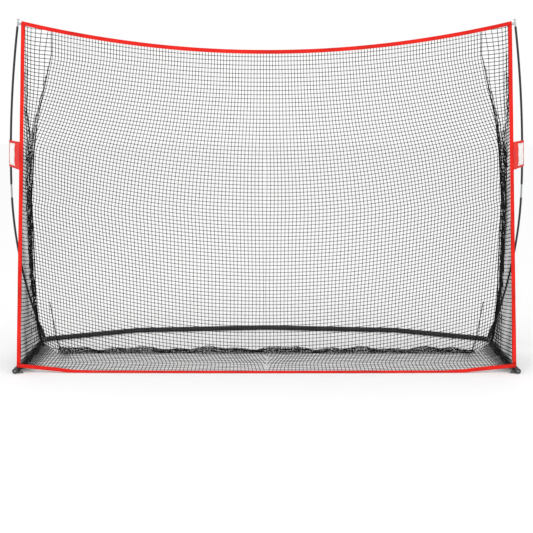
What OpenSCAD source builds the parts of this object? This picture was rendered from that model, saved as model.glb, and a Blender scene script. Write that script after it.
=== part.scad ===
// Free-standing golf hitting net: a tube base, two bowed poles and a bag-shaped net.
// X runs across the mouth, Y from the mouth to the back, Z up. The base lies on Z = 0.

/* [Base] */
// Distance between the centrelines of the two side tubes
base_w = 3068; // [2550:1:3690]
// Depth from the front caps to the bend at each rear corner
corner_depth = 851; // [705:1:980]
// Depth from the front caps to the knee in each rear tube
knee_depth = 1127; // [1100:5:1160]
// Distance of each knee from the middle
knee_x = 922; // [780:5:1060]
// Depth from the front caps to the bend in the middle
rear_depth = 1214; // [1200:2:1240]
// Outer diameter of the base tube
tube_d = 32; // [28:0.2:38.4]
// Wall of the base tube
tube_wall = 1.5; // [1.2:0.1:2]
// Radius of the bend at each rear corner
corner_bend = 75; // [60:5:100]
// Radius of the bends at the knees and in the middle
knee_bend = 200; // [150:10:250]
// Straight length between a bend and the joint beside it
leg = 90; // [80:5:110]

/* [Tube joints] */
// Length of the thin end that slides into the next tube
spigot_len = 60; // [50:1:75]
// Radial gap between a thin end and the tube around it
spigot_gap = 0.1; // [0.05:0.05:0.2]
// Diameter of a snap button
button_d = 8; // [6:0.5:9]
// Height of a snap button above the tube
button_rise = 3.5; // [2.5:0.5:4.5]
// Radial gap between a snap button and its hole
button_gap = 0.08; // [0.04:0.01:0.1]

/* [Poles] */
// Outer diameter of the poles
pole_d = 14.2; // [12:0.2:17]
// Bore of the poles
pole_bore = 9.2; // [8:0.1:10]
// Length of the lower pole above its straight foot
lower_len = 910; // [760:5:1080]
// Length of the upper pole
upper_len = 1020; // [850:5:1230]
// Outward lean of the pole where it leaves its socket
foot_angle = 15.4; // [13:0.1:18]
// Bow radius of the lower pole
lower_bow = 3094; // [2800:10:3600]
// Bow radius of the upper pole
upper_bow = 7600; // [6000:50:8600]
// Forward lean of the plane that each pole bows in
pole_lean = 10.5; // [9:0.1:12]
// Bare length of the metal joint between the poles
joint_len = 90; // [60:5:120]
// Diameter of the bare length
joint_d = 12.4; // [11:0.1:13.4]
// Depth of the metal joint inside each pole
joint_grip = 55; // [40:5:80]
// Outer diameter of the pole socket
socket_d = 26; // [24:0.5:30]
// Height of the pole socket along the pole
socket_len = 100; // [80:5:112]
// Bare length of the tip pin above the pole
tip_len = 45; // [38:1:60]
// Diameter of the tip pin
tip_d = 8; // [6:0.5:9]

/* [Net] */
// Sag of the top edge in the middle
sag = 176; // [120:2:220]
// Width of the coloured binding
binding_w = 24; // [18:1:32]
// Thickness of the binding
binding_t = 2.4; // [1.6:0.1:3.2]
// Thickness of the slabs that stand for the netting
net_t = 1.2; // [1:0.1:2]
// Depth from the front caps to the back panel on the floor
pocket_depth = 560; // [460:5:620]
// Depth from the front caps to the gathers beside each side tube
gather_depth = 688; // [630:2:700]
// Height above which the back panel has its full width
pocket_flare = 400; // [320:5:480]
// How much narrower the back panel is on the floor, at each side
pocket_taper = 158; // [120:2:190]

/* [Side tabs] */
// Height of a side tab
tab_h = 174; // [140:2:210]
// Distance from the start of the upper pole's bow to the bottom of a tab
tab_start = 120; // [90:5:160]
// Thickness of the tab fabric
tab_t = 2; // [1.4:0.1:2.4]
// Length of the fastening flap
flap_len = 110; // [80:5:140]

/* [Hidden] */

tube_r = tube_d / 2;
bore_r = tube_r - tube_wall;
spigot_r = bore_r - spigot_gap;
spigot_bore_r = spigot_r - tube_wall;
shoulder = 8;
bend_lap = 1;
bend_thinning = 0.1;
seam_gap = 0.3;

// The base in plan, right-hand side; headings are measured anticlockwise from +X
half_w = base_w / 2;
middle_turn = atan((rear_depth - knee_depth) / knee_x);
rear_heading = 180 - atan((knee_depth - corner_depth) / (half_w - knee_x));
centre_heading = 180 - middle_turn;
rear_extent = rear_depth - knee_bend * (1 / cos(middle_turn) - 1) + tube_r;
front_y = -rear_extent / 2;
corner = [half_w, front_y + corner_depth];
knee = [knee_x, front_y + knee_depth];
apex = [0, front_y + rear_depth];
corner_tangent = corner_bend * tan((rear_heading - 90) / 2);
knee_tangent = knee_bend * tan((centre_heading - rear_heading) / 2);
apex_tangent = knee_bend * tan(middle_turn);

// Each tube joint: where the thin end starts, and the heading it points in
front_joint = [step(corner, -90, corner_tangent + leg), 90];
corner_joint = [step(corner, rear_heading, corner_tangent + leg), rear_heading - 180];
knee_joint = [step(knee, centre_heading, knee_tangent + leg), centre_heading - 180];
middle_joint = [step(apex, centre_heading - 180, apex_tangent + leg), centre_heading - 180];

// Front end cap: a head with a flat under it, and a neck that holds the strap of the net
cap_head = 8;
cap_head_r = tube_r + 0.6;
cap_neck = 26;
cap_neck_r = 12;
cap_end = cap_head + cap_neck;
cap_plug = 30;
cap_flange = 3;

// Snap button: a shank on a flange that the spring presses up under the tube wall
button_r = button_d / 2;
button_at = spigot_len / 2;
flange_r = button_r + 1.5;
flange_top = sqrt(pow(spigot_bore_r, 2) - pow(flange_r, 2)) - 0.15;
flange_t = 1;
button_tip = 1.6;
spring_w = 8;
spring_t = 0.8;
spring_top = flange_top - flange_t;
spring_low = -sqrt(pow(spigot_bore_r, 2) - pow(spring_w / 2, 2)) + 0.05;
spring_mid = (spring_top + spring_low) / 2;
spring_r = (spring_top - spring_low) / 2;
spring_arm = 34;

// Pole, in its own plane: x outward, y down along the chord, angles from the foot to the tip
pole_r = pole_d / 2;
pole_foot = [half_w - 3, corner[1] - 2];
pole_stub = socket_len + 20;
socket_floor = 20;
socket_bore_r = socket_d / 2 - 1.5;
bush_gap = 0.1;
bush_rim = 3;
bore_gap = 0.08;
turn_per_mm = 180 / PI;
lower_end = foot_angle - lower_len / lower_bow * turn_per_mm;
upper_start = lower_end - joint_len / lower_bow * turn_per_mm;
upper_end = upper_start - upper_len / upper_bow * turn_per_mm;
lower_grip = lower_end + joint_grip / lower_bow * turn_per_mm;
upper_grip = upper_start - joint_grip / upper_bow * turn_per_mm;
lower_hub = [
    pole_stub * sin(foot_angle) - lower_bow * cos(foot_angle),
    -pole_stub * cos(foot_angle) - lower_bow * sin(foot_angle)
];
upper_hub = lower_hub + (lower_bow - upper_bow) * [cos(upper_start), sin(upper_start)];
tip_grip = 30;
bow_lap = 0.04;
bow_thinning = 0.1;
tip_cap_r = 9;
tip_cap_t = 5;
tip = on_upper(upper_end) + (tip_len - tip_cap_t) * [sin(upper_end), -cos(upper_end)];
tip_point = to_world(tip);

// Net: the red mouth leans back from the front corners to the pole tips
top_half = tip_point[0] - 17;
top_y = tip_point[1];
top_z = tip_point[2] - 6;
low_half = half_w - 4;
low_y = front_y + 30;
low_z = tube_d + 1;
side_top = top_z - binding_w - seam_gap;
side_low = low_z + binding_w + seam_gap;
pocket_y = front_y + pocket_depth;
gather_y = front_y + gather_depth;
back_top = top_y + net_t / 2;
back_lift = net_t + seam_gap;
side_x = low_half - binding_w / 2;
back_half = side_x - 2 * seam_gap;
floor_half = low_half - pocket_taper;
flat_from = 900;
rise_from = 1200;
edge_steps = 40;

// Side tab and its flap
tab_low = upper_start - tab_start / upper_bow * turn_per_mm;
tab_high = tab_low - tab_h / upper_bow * turn_per_mm;
tab_mid = (tab_low + tab_high) / 2;
wrap_in = pole_r + seam_gap;
wrap_out = wrap_in + tab_t;
tab_root_z = to_world(on_upper(tab_mid))[2];
tab_run = to_world(on_upper(tab_mid)) - side_point(tab_root_z);
tab_dir = [tab_run[0], tab_run[1], 0] / norm([tab_run[0], tab_run[1]]);
tab_out = [tab_dir[1], -tab_dir[0], 0];
layer_off = wrap_out + 3 * seam_gap + tab_t / 2;
tab_root_x = side_x + net_t + tab_t / 2 + 2 * seam_gap;
flap_inset = 6;
flap_gap = 1.2;
cloth_steps = 8;

frame_colour = "#1c1c1e";
metal_colour = "#b9bbbd";
spring_colour = "#8b8d90";
plastic_colour = "#2b2b2d";
net_colour = "#26262a";
binding_colour = "#e8352b";

function step(p, heading, d) = p + d * [cos(heading), sin(heading)];
function on_lower(t) = lower_hub + lower_bow * [cos(t), sin(t)];
function on_upper(t) = upper_hub + upper_bow * [cos(t), sin(t)];
function to_world(p) = [
    pole_foot[0] + p[0],
    pole_foot[1] + p[1] * sin(pole_lean),
    tube_r - p[1] * cos(pole_lean)
];
function mix(a, b, t) = a + (b - a) * t;
function clamp(t) = min(1, max(0, t));

// The side edge of the mouth at height z, and the top edge at x
function side_point(z) = [
    mix(low_half, top_half, (z - low_z) / (top_z - low_z)),
    mix(low_y, top_y, (z - low_z) / (top_z - low_z)),
    z
];
function top_edge(x) = top_z - sag * (1 - pow(x / top_half, 2));
// The bottom binding lies flat in the middle and stands up towards the corners
function flatness(x) = clamp((rise_from - abs(x)) / (rise_from - flat_from));
function edge_y(x) = front_y + 12 + 18 * pow(x / low_half, 2);
function edge_z(x) = low_z * clamp((abs(x) - rise_from) / (low_half - rise_from));
function edge_tilt(x) = mix(90, 0, flatness(x));
function edge_back(x) = edge_y(x) + binding_w * cos(edge_tilt(x)) + binding_t * sin(edge_tilt(x));
function back_y(z) = mix(pocket_y, back_top, z / side_top);
// The root of a side tab, behind the side binding at height z
function tab_root(z) = [tab_root_x, side_point(z)[1] + binding_t + 1 + seam_gap, z];

module on_side(side) {
    mirror([side == "left" ? 1 : 0, 0, 0]) children();
}

module along(p, heading) {
    translate([p[0], p[1], tube_r]) rotate([0, 90, heading]) children();
}

// The solid inside of a bend, out to radius r
module bend_core(p, heading, turn, bend_r, r) {
    start = step(p, heading + 180, bend_r * tan(turn / 2));
    hub = step(start, heading + 90, bend_r);
    translate([hub[0], hub[1], tube_r])
        rotate([0, 0, heading - 90])
            rotate_extrude(angle = turn, $fn = 180)
                translate([bend_r, 0]) circle(r = r, $fn = 64);
}

// The thin end of a tube, with the collar that welds it inside the wall it comes out of
module spigot(joint) {
    root = step(joint[0], joint[1], -shoulder);
    ring_run(root, step(joint[0], joint[1], spigot_len), spigot_r, spigot_bore_r);
    ring_run(step(root, joint[1], 1), step(root, joint[1], shoulder - 1), bore_r + tube_wall / 2, spigot_r - tube_wall / 2);
}

module button_hole(joint) {
    p = step(joint[0], joint[1], button_at);
    translate([p[0], p[1], tube_r + spigot_bore_r - 4])
        cylinder(r = button_r + button_gap, h = tube_wall * 2 + 8, $fn = 48);
}

// A tube wall from p to q, open at both ends
module ring_run(p, q, r_out, r_in) {
    d = q - p;
    along(p, atan2(d[1], d[0])) linear_extrude(norm(d)) difference() {
        circle(r = r_out, $fn = 64);
        circle(r = r_in, $fn = 64);
    }
}

// A bent wall that reaches a little way into the walls of the straight lengths at its ends
module ring_bend(p, heading, turn, bend_r) {
    start = step(p, heading + 180, bend_r * tan(turn / 2));
    hub = step(start, heading + 90, bend_r);
    lap = bend_lap / bend_r * turn_per_mm;
    translate([hub[0], hub[1], tube_r])
        rotate([0, 0, heading - 90 - lap])
            rotate_extrude(angle = turn + 2 * lap, $fn = 180)
                translate([bend_r, 0]) difference() {
                    circle(r = tube_r - bend_thinning, $fn = 64);
                    circle(r = bore_r + bend_thinning, $fn = 64);
                }
}

// Base

module side_tube() {
    color(frame_colour) difference() {
        union() {
            ring_run([half_w, front_y + cap_end], front_joint[0], tube_r, bore_r);
            spigot(front_joint);
        }
        button_hole(front_joint);
    }
}

module corner_tube() {
    turn = rear_heading - 90;
    color(frame_colour) difference() {
        union() {
            ring_run(front_joint[0], step(corner, -90, corner_tangent), tube_r, bore_r);
            ring_bend(corner, 90, turn, corner_bend);
            ring_run(step(corner, rear_heading, corner_tangent), corner_joint[0], tube_r, bore_r);
            difference() {
                pole_plane() up_from_foot() cylinder(r = socket_d / 2, h = socket_len, $fn = 64);
                bend_core(corner, 90, turn, corner_bend, bore_r + tube_wall / 2);
                pole_plane() up_from_foot() translate([0, 0, socket_floor])
                    cylinder(r = socket_bore_r, h = socket_len, $fn = 64);
            }
        }
        button_hole(front_joint);
        button_hole(corner_joint);
    }
}

module rear_tube() {
    color(frame_colour) difference() {
        union() {
            ring_run(corner_joint[0], step(knee, rear_heading, -knee_tangent), tube_r, bore_r);
            ring_bend(knee, rear_heading, centre_heading - rear_heading, knee_bend);
            ring_run(step(knee, centre_heading, knee_tangent), knee_joint[0], tube_r, bore_r);
            spigot(corner_joint);
        }
        button_hole(corner_joint);
        button_hole(knee_joint);
    }
}

module centre_tube() {
    color(frame_colour) difference() {
        union() {
            ring_run(knee_joint[0], middle_joint[0], tube_r, bore_r);
            spigot(knee_joint);
        }
        button_hole(knee_joint);
        button_hole(middle_joint);
    }
}

module middle_half() {
    difference() {
        union() {
            ring_run(step(apex, centre_heading - 180, apex_tangent), middle_joint[0], tube_r, bore_r);
            spigot(middle_joint);
        }
        button_hole(middle_joint);
    }
}

module middle_tube() {
    color(frame_colour) {
        middle_half();
        mirror([1, 0, 0]) middle_half();
        ring_bend(apex, centre_heading, 2 * middle_turn, knee_bend);
    }
}

module end_cap() {
    color(plastic_colour) translate([half_w, front_y, tube_r]) rotate([-90, 0, 0]) {
        difference() {
            cylinder(r = cap_head_r, h = cap_head, $fn = 64);
            translate([-tube_d, tube_r, -1]) cube([tube_d * 2, 5, cap_head + 2]);
            translate([0, 0, -1]) cylinder(r = cap_neck_r - 4, h = 4, $fn = 48);
        }
        translate([0, 0, cap_head]) cylinder(r = cap_neck_r, h = cap_neck - cap_flange, $fn = 64);
        translate([0, 0, cap_end - cap_flange]) cylinder(r = tube_r, h = cap_flange, $fn = 64);
        translate([0, 0, cap_end]) cylinder(r = bore_r - spigot_gap, h = cap_plug, $fn = 64);
    }
}

// Snap buttons and their springs; each sits in the thin end of one joint

module snap_button(joint) {
    p = step(joint[0], joint[1], button_at);
    shank = bore_r + tube_wall + button_rise - button_tip - flange_top;
    color(metal_colour) translate([p[0], p[1], tube_r]) {
        translate([0, 0, spring_top]) cylinder(r = flange_r, h = flange_t, $fn = 48);
        translate([0, 0, flange_top]) cylinder(r = button_r, h = shank, $fn = 48);
        translate([0, 0, flange_top + shank]) cylinder(r1 = button_r, r2 = button_r * 0.6, h = button_tip, $fn = 48);
    }
}

module snap_spring(joint) {
    p = step(joint[0], joint[1], button_at);
    color(spring_colour)
        translate([p[0], p[1], tube_r + spring_mid])
            rotate([90, 0, joint[1]])
                linear_extrude(spring_w, center = true) {
                    difference() {
                        translate([-spring_arm, 0]) circle(r = spring_r, $fn = 64);
                        translate([-spring_arm, 0]) circle(r = spring_r - spring_t, $fn = 64);
                        translate([-spring_arm, -spring_r - 1]) square([spring_r + 1, 2 * spring_r + 2]);
                    }
                    translate([-spring_arm, spring_r - spring_t]) square([spring_arm + 7, spring_t]);
                    translate([-spring_arm, -spring_r]) square([spring_arm + 16, spring_t]);
                }
}

// Poles

module pole_plane() {
    translate([pole_foot[0], pole_foot[1], tube_r]) rotate([pole_lean - 90, 0, 0]) children();
}

module up_from_foot() {
    rotate([0, 0, foot_angle]) rotate([90, 0, 0]) children();
}

// Stands children on the end of the upper pole, z along the pole and x outward
module up_from_tip(t) {
    pole_plane() translate([upper_hub[0], upper_hub[1], 0])
        rotate([0, 0, t]) translate([upper_bow, 0, 0]) rotate([90, 0, 0]) children();
}

module bow(hub, bow_r, from, to, r_out, r_in) {
    translate([hub[0], hub[1], 0]) rotate([0, 0, to])
        rotate_extrude(angle = from - to, $fn = 720)
            translate([bow_r, 0]) difference() {
                circle(r = r_out, $fn = 40);
                circle(r = r_in, $fn = 40);
            }
}

module rod_bow(hub, bow_r, from, to, r) {
    translate([hub[0], hub[1], 0]) rotate([0, 0, to])
        rotate_extrude(angle = from - to, $fn = 720) translate([bow_r, 0]) circle(r = r, $fn = 40);
}

module socket_bush() {
    color(plastic_colour) pole_plane() up_from_foot() translate([0, 0, socket_floor + 10]) difference() {
        union() {
            cylinder(r = socket_bore_r - bush_gap, h = socket_len - socket_floor - 10, $fn = 64);
            translate([0, 0, socket_len - socket_floor - 10])
                cylinder(r = socket_d / 2 + 0.5, h = bush_rim, $fn = 64);
        }
        translate([0, 0, -1]) cylinder(r = pole_r + bore_gap, h = socket_len, $fn = 48);
    }
}

module lower_pole() {
    color(frame_colour) pole_plane() {
        up_from_foot() translate([0, 0, socket_floor]) difference() {
            cylinder(r = pole_r, h = pole_stub - socket_floor, $fn = 40);
            translate([0, 0, -1]) cylinder(r = pole_bore / 2, h = pole_stub - socket_floor + 2, $fn = 40);
        }
        bow(lower_hub, lower_bow, foot_angle + bow_lap, foot_angle, pole_r - bow_thinning, pole_bore / 2 + bow_thinning);
        bow(lower_hub, lower_bow, foot_angle, lower_end, pole_r, pole_bore / 2);
    }
}

module upper_pole() {
    color(frame_colour) pole_plane() bow(upper_hub, upper_bow, upper_start, upper_end, pole_r, pole_bore / 2);
}

module pole_joint() {
    grip_r = pole_bore / 2 - bore_gap;
    color(metal_colour) pole_plane() {
        rod_bow(lower_hub, lower_bow, lower_grip, lower_end - bow_lap, grip_r);
        rod_bow(lower_hub, lower_bow, lower_end, upper_start, joint_d / 2);
        rod_bow(upper_hub, upper_bow, upper_start + bow_lap, upper_grip, grip_r);
    }
}

module tip_pin() {
    color(metal_colour) up_from_tip(upper_end) {
        translate([0, 0, -tip_grip]) cylinder(r = pole_bore / 2 - 0.5, h = tip_grip, $fn = 48);
        cylinder(r = tip_d / 2, h = tip_len - tip_cap_t, $fn = 48);
        translate([0, 0, tip_len - tip_cap_t]) cylinder(r = tip_cap_r, h = tip_cap_t, $fn = 48);
    }
}

// Soft parts

// A flat sheet with the given outline, thickened along its own normal
module panel(outline, t) {
    n = len(outline);
    across = cross(outline[1] - outline[0], outline[2] - outline[0]);
    normal = across / norm(across) * t;
    polyhedron(
        points = concat(outline, [for (p = outline) p + normal]),
        faces = concat(
            [[for (i = [0 : n - 1]) i]],
            [[for (i = [n - 1 : -1 : 0]) n + i]],
            [for (i = [0 : n - 1]) [i, n + i, n + (i + 1) % n, (i + 1) % n]]
        )
    );
}

// A band with a four-cornered section at each station; opposite faces are split along the same diagonal
module band(sections) {
    last = 4 * len(sections) - 1;
    polyhedron(
        points = [for (s = sections) each s],
        faces = concat(
            [[0, 1, 2], [0, 2, 3], [last, last - 1, last - 2], [last, last - 2, last - 3]],
            [for (i = [0 : len(sections) - 2], k = [0 : 3]) each strip(4 * i + k, 4 * i + (k + 1) % 4, k < 2)]
        )
    );
}

function strip(a, b, falling) = falling
    ? [[a, a + 4, b], [b, a + 4, b + 4]]
    : [[a, a + 4, b + 4], [a, b + 4, b]];

function bottom_section(x) =
    let (
        tilt = edge_tilt(x),
        foot = [x, edge_y(x), edge_z(x)],
        up = [0, cos(tilt), sin(tilt)] * binding_w,
        thick = [0, -sin(tilt), cos(tilt)] * binding_t,
        back = [0, sin(tilt) * binding_t, 0]
    ) [foot + back, foot + back + up, foot + back + up + thick, foot + back + thick];

module binding_bottom() {
    stops = [for (i = [0 : edge_steps]) mix(-low_half, low_half, i / edge_steps)];
    color(binding_colour) band([for (x = stops) bottom_section(x)]);
}

module binding_top() {
    stops = [for (i = [0 : edge_steps]) mix(-top_half, top_half, i / edge_steps)];
    y = top_y - binding_t / 2;
    color(binding_colour) band([
        for (x = stops) [
            [x, y, top_edge(x) - binding_w],
            [x, y + binding_t, top_edge(x) - binding_w],
            [x, y + binding_t, top_edge(x)],
            [x, y, top_edge(x)]
        ]
    ]);
}

module binding_side() {
    a = side_point(side_low);
    b = side_point(side_top);
    across = [binding_w, 0, 0];
    back = [0, binding_t, 0];
    color(binding_colour) band([
        [a - across, a, a + back, a - across + back],
        [b - across, b, b + back, b - across + back]
    ]);
}

module net_back() {
    crest = [for (i = [0 : edge_steps]) mix(back_half, -back_half, i / edge_steps)];
    outline = concat(
        [[-floor_half, back_lift], [floor_half, back_lift], [back_half, pocket_flare]],
        [for (x = crest) [x, top_edge(x) - binding_w - seam_gap]],
        [[-back_half, pocket_flare]]
    );
    color(net_colour) panel([for (p = outline) [p[0], back_y(p[1]), p[1]]], net_t);
}

module net_floor() {
    reach = half_w - tube_r - 1;
    stops = [for (i = [0 : edge_steps]) mix(-reach, reach, i / edge_steps)];
    outline = concat(
        [for (x = stops) [x, edge_back(x) + seam_gap]],
        [[reach, gather_y], [floor_half, pocket_y + 1], [-floor_half, pocket_y + 1], [-reach, gather_y]]
    );
    color(net_colour) linear_extrude(net_t) polygon(outline);
}

module net_side() {
    front_low = side_point(side_low);
    front_high = side_point(side_top - 40);
    outline = [
        [front_low[1] + binding_t + seam_gap, side_low],
        [front_low[1] + 60, low_z],
        [gather_y - 3, low_z],
        [gather_y - 90, 170],
        [back_y(pocket_flare), pocket_flare],
        [back_y(front_high[2]), front_high[2]],
        [front_high[1] + binding_t + seam_gap, front_high[2]]
    ];
    color(net_colour) translate([side_x, 0, 0]) rotate([90, 0, 90]) linear_extrude(net_t) polygon(outline);
}

module net_gather() {
    behind = 0.8 * net_t + seam_gap;
    color(net_colour) panel([
        [floor_half, back_y(back_lift) + behind, back_lift],
        [side_x - net_t, gather_y, low_z],
        [side_x - net_t, back_y(pocket_flare) + behind, pocket_flare]
    ], net_t);
}

module top_loop() {
    loop_h = 20;
    loop_in = tip_d / 2 + seam_gap;
    color(net_colour) {
        up_from_tip(upper_end) translate([0, 0, 8]) difference() {
            cylinder(r = loop_in + 2, h = loop_h, $fn = 48);
            translate([0, 0, -1]) cylinder(r = loop_in, h = loop_h + 2, $fn = 48);
        }
        up_from_tip(upper_end) translate([-loop_in - 9.5, -1, 10]) cube([8.5, 2, loop_h - 4]);
    }
}

module corner_strap() {
    strap_w = cap_neck - cap_flange - 2;
    strap_in = cap_neck_r + seam_gap;
    strap_t = 2.4;
    color(plastic_colour) translate([half_w, front_y + cap_head + 1, tube_r]) {
        rotate([-90, 0, 0]) difference() {
            cylinder(r = strap_in + strap_t, h = strap_w, $fn = 64);
            translate([0, 0, -1]) cylinder(r = strap_in, h = strap_w + 2, $fn = 64);
        }
        translate([-8, 0, strap_in + 1]) cube([4, strap_w, low_z - tube_r - strap_in - 1 - seam_gap]);
        translate([-50, 0, -tube_r]) cube([42, strap_w, 5]);
    }
}

module side_tab() {
    centre_low = to_world(on_upper(tab_low));
    centre_high = to_world(on_upper(tab_high));
    pole_low = centre_low + tab_out * layer_off;
    pole_high = centre_high + tab_out * layer_off;
    color(binding_colour) cloth(tab_root(centre_low[2]), tab_root(centre_high[2]), pole_low, pole_high);
}

module tab_sleeve() {
    color(binding_colour) pole_plane() bow(upper_hub, upper_bow, tab_low, tab_high, wrap_out, wrap_in);
}

module tab_flap() {
    inset = flap_inset / upper_bow * turn_per_mm;
    low = tab_low - inset;
    high = tab_high + inset;
    color(binding_colour) cloth(flap_end(low), flap_end(high), flap_hinge(low), flap_hinge(high));
}

function flap_hinge(t) = to_world(on_upper(t)) - tab_out * layer_off;
// The free end of the flap, one gap inside the tab
function flap_end(t) =
    let (
        centre = to_world(on_upper(t)),
        back = tab_root(centre[2]) - centre,
        tab_there = mix(layer_off, back * tab_out, flap_len / abs(back * tab_dir))
    ) centre + tab_out * (tab_there - tab_t - flap_gap) - tab_dir * flap_len;

// A piece of tab fabric between two upright edges, twisting evenly from one to the other
module cloth(a_low, a_high, b_low, b_high) {
    half_t = tab_out * tab_t / 2;
    band([
        for (i = [0 : cloth_steps])
            let (low = mix(a_low, b_low, i / cloth_steps), high = mix(a_high, b_high, i / cloth_steps))
                [low + half_t, low - half_t, high - half_t, high + half_t]
    ]);
}

on_side("left") side_tube();  // side_tube_left
on_side("right") side_tube();  // side_tube_right
on_side("left") corner_tube();  // corner_tube_left
on_side("right") corner_tube();  // corner_tube_right
on_side("left") rear_tube();  // rear_tube_left
on_side("right") rear_tube();  // rear_tube_right
on_side("left") centre_tube();  // centre_tube_left
on_side("right") centre_tube();  // centre_tube_right
middle_tube();
on_side("left") end_cap();  // end_cap_left
on_side("right") end_cap();  // end_cap_right
on_side("left") socket_bush();  // socket_bush_left
on_side("right") socket_bush();  // socket_bush_right
on_side("left") lower_pole();  // lower_pole_left
on_side("right") lower_pole();  // lower_pole_right
on_side("left") upper_pole();  // upper_pole_left
on_side("right") upper_pole();  // upper_pole_right
on_side("left") pole_joint();  // pole_joint_left
on_side("right") pole_joint();  // pole_joint_right
on_side("left") tip_pin();  // tip_pin_left
on_side("right") tip_pin();  // tip_pin_right
on_side("left") snap_button(front_joint);  // snap_button_front_left
on_side("right") snap_button(front_joint);  // snap_button_front_right
on_side("left") snap_button(corner_joint);  // snap_button_corner_left
on_side("right") snap_button(corner_joint);  // snap_button_corner_right
on_side("left") snap_button(knee_joint);  // snap_button_knee_left
on_side("right") snap_button(knee_joint);  // snap_button_knee_right
on_side("left") snap_button(middle_joint);  // snap_button_middle_left
on_side("right") snap_button(middle_joint);  // snap_button_middle_right
on_side("left") snap_spring(front_joint);  // snap_spring_front_left
on_side("right") snap_spring(front_joint);  // snap_spring_front_right
on_side("left") snap_spring(corner_joint);  // snap_spring_corner_left
on_side("right") snap_spring(corner_joint);  // snap_spring_corner_right
on_side("left") snap_spring(knee_joint);  // snap_spring_knee_left
on_side("right") snap_spring(knee_joint);  // snap_spring_knee_right
on_side("left") snap_spring(middle_joint);  // snap_spring_middle_left
on_side("right") snap_spring(middle_joint);  // snap_spring_middle_right
net_back();
net_floor();
on_side("left") net_side();  // net_side_left
on_side("right") net_side();  // net_side_right
on_side("left") net_gather();  // net_gather_left
on_side("right") net_gather();  // net_gather_right
binding_top();
binding_bottom();
on_side("left") binding_side();  // binding_left
on_side("right") binding_side();  // binding_right
on_side("left") top_loop();  // top_loop_left
on_side("right") top_loop();  // top_loop_right
on_side("left") corner_strap();  // corner_strap_left
on_side("right") corner_strap();  // corner_strap_right
on_side("left") side_tab();  // side_tab_left
on_side("right") side_tab();  // side_tab_right
on_side("left") tab_sleeve();  // tab_sleeve_left
on_side("right") tab_sleeve();  // tab_sleeve_right
on_side("left") tab_flap();  // tab_flap_left
on_side("right") tab_flap();  // tab_flap_right
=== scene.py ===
# Free-standing golf hitting net: a tube base on the ground, two bowed poles and a net bag edged in red tape.
# Metres throughout: +X runs across the mouth, +Y from the mouth to the back, +Z up.
import math

import bpy
import numpy as np
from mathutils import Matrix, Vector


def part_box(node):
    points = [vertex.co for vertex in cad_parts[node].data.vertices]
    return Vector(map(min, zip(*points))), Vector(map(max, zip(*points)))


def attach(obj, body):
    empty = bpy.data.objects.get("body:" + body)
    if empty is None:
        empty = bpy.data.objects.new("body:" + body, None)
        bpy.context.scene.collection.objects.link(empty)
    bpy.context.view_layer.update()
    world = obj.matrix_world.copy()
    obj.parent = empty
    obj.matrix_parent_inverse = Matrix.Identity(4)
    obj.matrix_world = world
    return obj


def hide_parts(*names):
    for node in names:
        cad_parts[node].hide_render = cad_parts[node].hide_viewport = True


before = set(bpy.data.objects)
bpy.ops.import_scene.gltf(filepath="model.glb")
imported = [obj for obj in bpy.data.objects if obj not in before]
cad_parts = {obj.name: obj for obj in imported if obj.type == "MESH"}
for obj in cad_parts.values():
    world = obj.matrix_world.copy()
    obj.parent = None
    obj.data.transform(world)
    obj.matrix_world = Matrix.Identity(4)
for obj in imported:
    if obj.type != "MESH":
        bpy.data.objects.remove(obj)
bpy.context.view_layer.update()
root = "net_and_frame"
sides = {"left": -1, "right": 1}
print("frame loaded:", len(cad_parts), "nodes")


def boxOf(node):
    low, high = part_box(node)
    return np.array(low), np.array(high)


def smooth(t):
    t = np.clip(t, 0, 1)
    return t * t * (3 - 2 * t)


view = {
    "lens": 69.57,
    "height": 1.6684,
    "beforeCaps": 6.0896,  # distance from the front caps
    "downDegrees": 9.372,
}
light = {
    "world": 1.0,
    "lamps": {"key": ((-3.0, -4.5, 4.5), 60), "fill": ((3.5, -3.5, 3.0), 22)},  # place and watts
    "lampSize": 3.0,
    "aim": (0, 0, 0.9),
    "floor": "#fbfbfb",
    "floorSize": 60,
    "floorDrop": 0.001,
}

frontY = boxOf("end_cap_right")[0][1]
cameraData = bpy.data.cameras.new("camera")
cameraData.lens = view["lens"]
cameraData.sensor_width = 36
cameraData.clip_end = 200
camera = bpy.data.objects.new("camera", cameraData)
camera.location = (0, frontY - view["beforeCaps"], view["height"])
camera.rotation_euler = (math.radians(90 - view["downDegrees"]), 0, 0)
bpy.context.scene.collection.objects.link(camera)
bpy.context.scene.camera = camera
bpy.context.scene.view_settings.view_transform = "Standard"


def linearColour(hexText):
    channels = [int(hexText[i:i + 2], 16) / 255 for i in (1, 3, 5)]
    return [c / 12.92 if c <= 0.04045 else ((c + 0.055) / 1.055) ** 2.4 for c in channels] + [1]


def addNode(tree, kind, links=None, values=None, stops=(), **settings):
    node = tree.nodes.new(kind)
    for name, value in settings.items():
        setattr(node, name, value)
    for socket, value in (values or {}).items():
        node.inputs[socket].default_value = value
    for socket, source in (links or {}).items():
        tree.links.new(source, node.inputs[socket])
    for number, (position, hexText) in enumerate(stops):
        elements = node.color_ramp.elements
        element = elements[number] if number < len(elements) else elements.new(position)
        element.position = position
        element.color = linearColour(hexText)
    return node


def newMaterial(name, colour, shaderValues):
    material = bpy.data.materials.new(name)
    material.use_nodes = True
    material.diffuse_color = linearColour(colour)
    tree = material.node_tree
    shader = tree.nodes["Principled BSDF"]
    shader.inputs["Base Color"].default_value = linearColour(colour)
    for socket, value in shaderValues.items():
        shader.inputs[socket].default_value = value
    return material, tree, shader


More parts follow.
